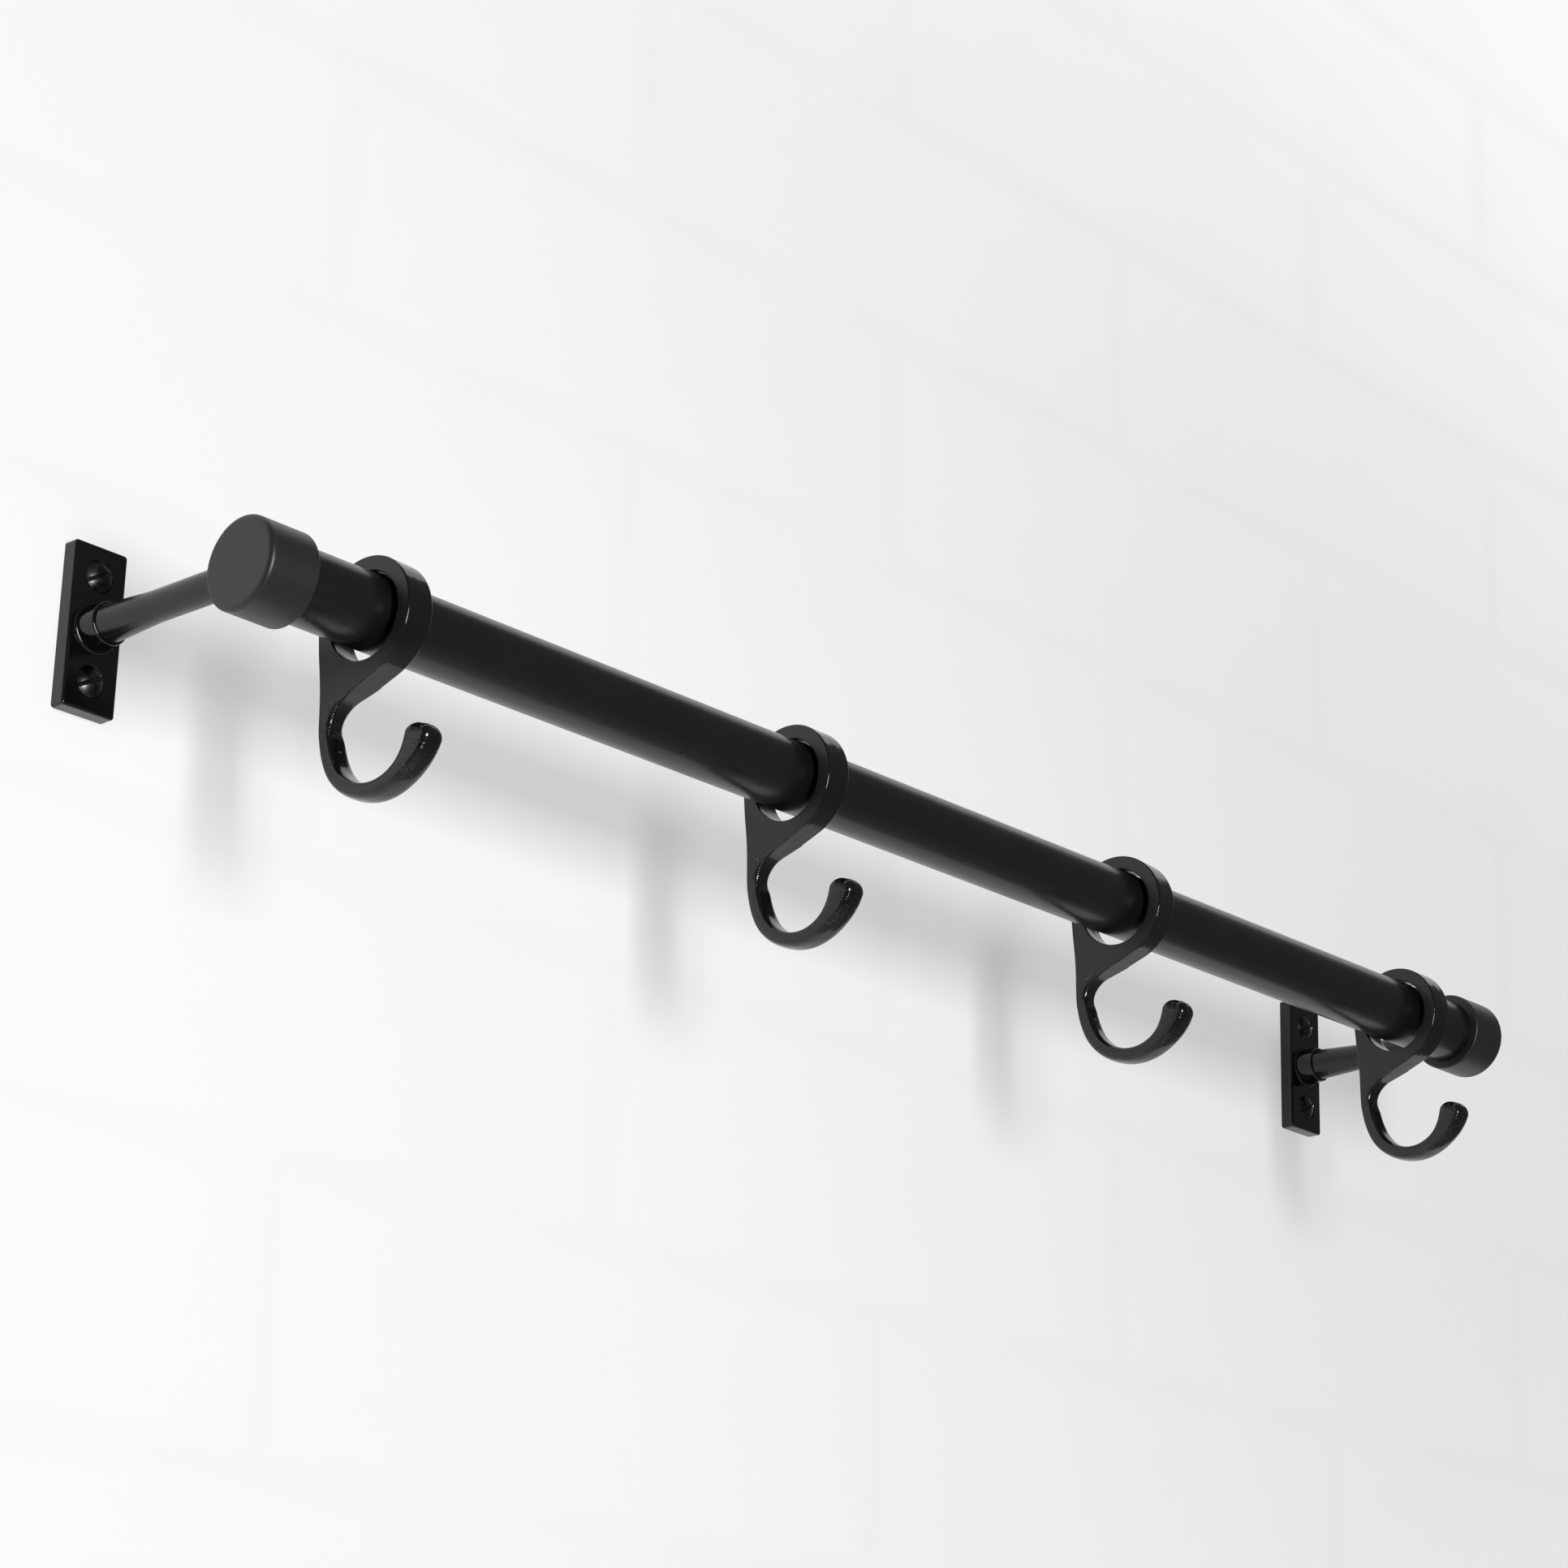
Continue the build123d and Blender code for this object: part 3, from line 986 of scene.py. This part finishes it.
@dataclass
class PaintedWall:
    """White painted brickwork that turns through a cove into a pale floor."""

    half_width: float = 4.0
    top: float = 3.0
    floor: float = -1.2
    cove: float = 0.5
    reach: float = 4.0
    cove_steps: int = 24
    brick_length: float = 0.225
    course_height: float = 0.077
    joint: float = 0.009
    joint_depth: float = 0.0009
    first_joint: tuple[float, float] = (-0.1785, 0.038)
    colour: tuple[float, float, float] = (0.93, 0.925, 0.928)
    lifted_near: float = 0.42
    lifted_far: float = 1.0
    bright: tuple[float, float, float] = (0.978, 0.968, 0.973)
    dull: tuple[float, float, float] = (0.915, 0.906, 0.910)
    usual_dullness: float = 0.25
    joint_dullness: float = 0.45
    paint_dullness: float = 0.5
    paint_size: float = 0.06
    paint_height: float = 0.35
    relief_share: float = 0.35
    upright_range: tuple[float, float] = (-0.01, -0.001)
    spread: tuple[float, float, float] = (0.55, 1.0, 1.0)
    near: float = 0.12
    far: float = 0.55

    def outline(self) -> list[tuple[float, float]]:
        """The sheet's section from the top of the wall to the front of the floor, as y and z."""
        points = [(0.0, self.top)]
        for step in range(self.cove_steps + 1):
            angle = math.pi / 2 * step / self.cove_steps
            across = self.cove * (1 - math.cos(angle))
            down = self.cove * (1 - math.sin(angle))
            points.append((-across, self.floor + down))
        points.append((-self.reach, self.floor))
        return points

    def material(self) -> bpy.types.Material:
        """White emulsion over brickwork, seen from its front only."""
        material, graph = painted("white_painted_brick")
        place = graph.place()
        across, out, up = graph.axes(place)
        on_wall = graph.node(
            "ShaderNodeCombineXYZ",
            inputs={"X": across - self.first_joint[0], "Y": up - self.first_joint[1]},
        )
        bricks = graph.node(
            "ShaderNodeTexBrick",
            {"offset": 0.5, "offset_frequency": 2},
            {
                "Vector": on_wall.outputs[0],
                "Scale": 1.0,
                "Mortar Size": self.joint,
                "Mortar Smooth": 1.0,
                "Brick Width": self.brick_length,
                "Row Height": self.course_height,
            },
        )
        joints = Channel(graph, bricks.outputs["Fac"])
        paint = graph.noise(place, self.paint_size, 5.0)
        upright = out.between(*self.upright_range)
        height = (paint * self.paint_height - joints) * upright
        diffuse = graph.node(
            "ShaderNodeBsdfDiffuse",
            inputs={
                "Color": (*self.colour, 1.0),
                "Normal": graph.relief(height, self.joint_depth, self.relief_share),
            },
        )
        dullness = joints * self.joint_dullness + (0.5 - paint) * self.paint_dullness
        dullness = dullness + self.usual_dullness
        white = graph.node(
            "ShaderNodeEmission",
            inputs={"Color": graph.blend(dullness, self.bright, self.dull), "Strength": 1.0},
        )
        away = graph.node(
            "ShaderNodeVectorMath",
            {"operation": "LENGTH"},
            {0: graph.stretched(place, self.spread)},
        )
        distance = Channel(graph, away.outputs["Value"])
        reach = distance.between(self.near, self.far)
        lift = (reach * (self.lifted_far - self.lifted_near) + self.lifted_near) * upright
        path = graph.node("ShaderNodeLightPath")
        seen = (
            Channel(graph, path.outputs["Is Camera Ray"])
            + Channel(graph, path.outputs["Is Glossy Ray"])
            + Channel(graph, path.outputs["Is Transmission Ray"])
        ).smallest(1.0)
        front = graph.node(
            "ShaderNodeMixShader",
            inputs={0: lift * seen, 1: diffuse.outputs[0], 2: white.outputs[0]},
        )
        clear = graph.node("ShaderNodeBsdfTransparent")
        behind = graph.node("ShaderNodeNewGeometry").outputs["Backfacing"]
        whole = graph.node(
            "ShaderNodeMixShader", inputs={0: behind, 1: front.outputs[0], 2: clear.outputs[0]}
        )
        graph.surface(whole.outputs[0])
        return material

    def build(self) -> bpy.types.Object:
        """Makes the sheet with its front towards the rail.

        Returns:
            The sheet.
        """
        section = self.outline()
        points = [(x, y, z) for x in (-self.half_width, self.half_width) for y, z in section]
        count = len(section)
        faces = [(row, row + 1, count + row + 1, count + row) for row in range(count - 1)]
        mesh = bpy.data.meshes.new("painted_wall")
        mesh.from_pydata(points, [], faces)
        mesh.materials.append(self.material())
        for polygon in mesh.polygons:
            polygon.use_smooth = True
        wall = added("painted_wall", mesh)
        LOG.info("wall and floor are in place")
        return wall


@dataclass
class Studio:
    """One soft window-like light in front of the wall and an even grey room."""

    light_at: tuple[float, float, float] = (-0.39, -1.19, -0.07)
    light_size: tuple[float, float] = (0.36, 0.52)
    light_strength: float = 13.2
    room: tuple[float, float, float] = (0.14, 0.14, 0.142)

    def build(self) -> None:
        """Adds the light and the world."""
        lamp = bpy.data.lights.new("soft_window", "AREA")
        lamp.shape = "RECTANGLE"
        lamp.size, lamp.size_y = self.light_size
        lamp.energy = self.light_strength
        window = added("soft_window", lamp)
        window.location = self.light_at
        window.rotation_mode = "QUATERNION"
        window.rotation_quaternion = Vector((0.0, -1.0, 0.0)).to_track_quat("Z", "Y")
        world = bpy.data.worlds.new("grey_room")
        world.use_nodes = True
        graph = ShaderGraph(world.node_tree)
        background = graph.node(
            "ShaderNodeBackground", inputs={"Color": (*self.room, 1.0), "Strength": 1.0}
        )
        graph.node("ShaderNodeOutputWorld", inputs={"Surface": background.outputs[0]})
        bpy.context.scene.world = world
        LOG.info("light and room are in place")


@dataclass
class Viewpoint:
    """The camera, below and to the left of the rail."""

    aim: tuple[float, float, float] = (-0.0700, -0.0647, -0.0027)
    distance: float = 1.0498
    azimuth: float = -47.11
    elevation: float = -19.26
    roll: float = 1.583
    lens: float = 91.197
    film: float = 36.0

    def build(self) -> bpy.types.Object:
        """Makes the camera and hands it to the scene.

        Returns:
            The camera.
        """
        around, above = math.radians(self.azimuth), math.radians(self.elevation)
        back = Vector(
            (
                math.sin(around) * math.cos(above),
                -math.cos(around) * math.cos(above),
                math.sin(above),
            )
        )
        data = bpy.data.cameras.new("viewpoint")
        data.lens = self.lens
        data.sensor_width = self.film
        data.clip_start = 0.01
        camera = added("viewpoint", data)
        camera.location = Vector(self.aim) + back * self.distance
        camera.rotation_mode = "QUATERNION"
        tilt = Quaternion((0.0, 0.0, 1.0), math.radians(self.roll))
        camera.rotation_quaternion = back.to_track_quat("Z", "Y") @ tilt
        bpy.context.scene.camera = camera
        LOG.info("camera is in place")
        return camera


def main() -> None:
    """Builds the camera and stage, then dresses each sub-assembly in order."""
    logging.basicConfig(level=logging.INFO, format="%(name)s: %(message)s")
    bpy.context.scene.view_settings.view_transform = "Standard"
    Viewpoint().build()
    PaintedWall().build()
    Studio().build()
    Rail().build()
    plate_material = GlossEnamel().material()
    stem_material = SatinPaint(name="satin_black_stem", roughness=0.24).material()
    screw_material = BlackedSteel().material()
    for side in Side:
        Bracket(side, plate_material, stem_material, screw_material).build()
    RingHooks().build()


if __name__ == "__main__":
    main()
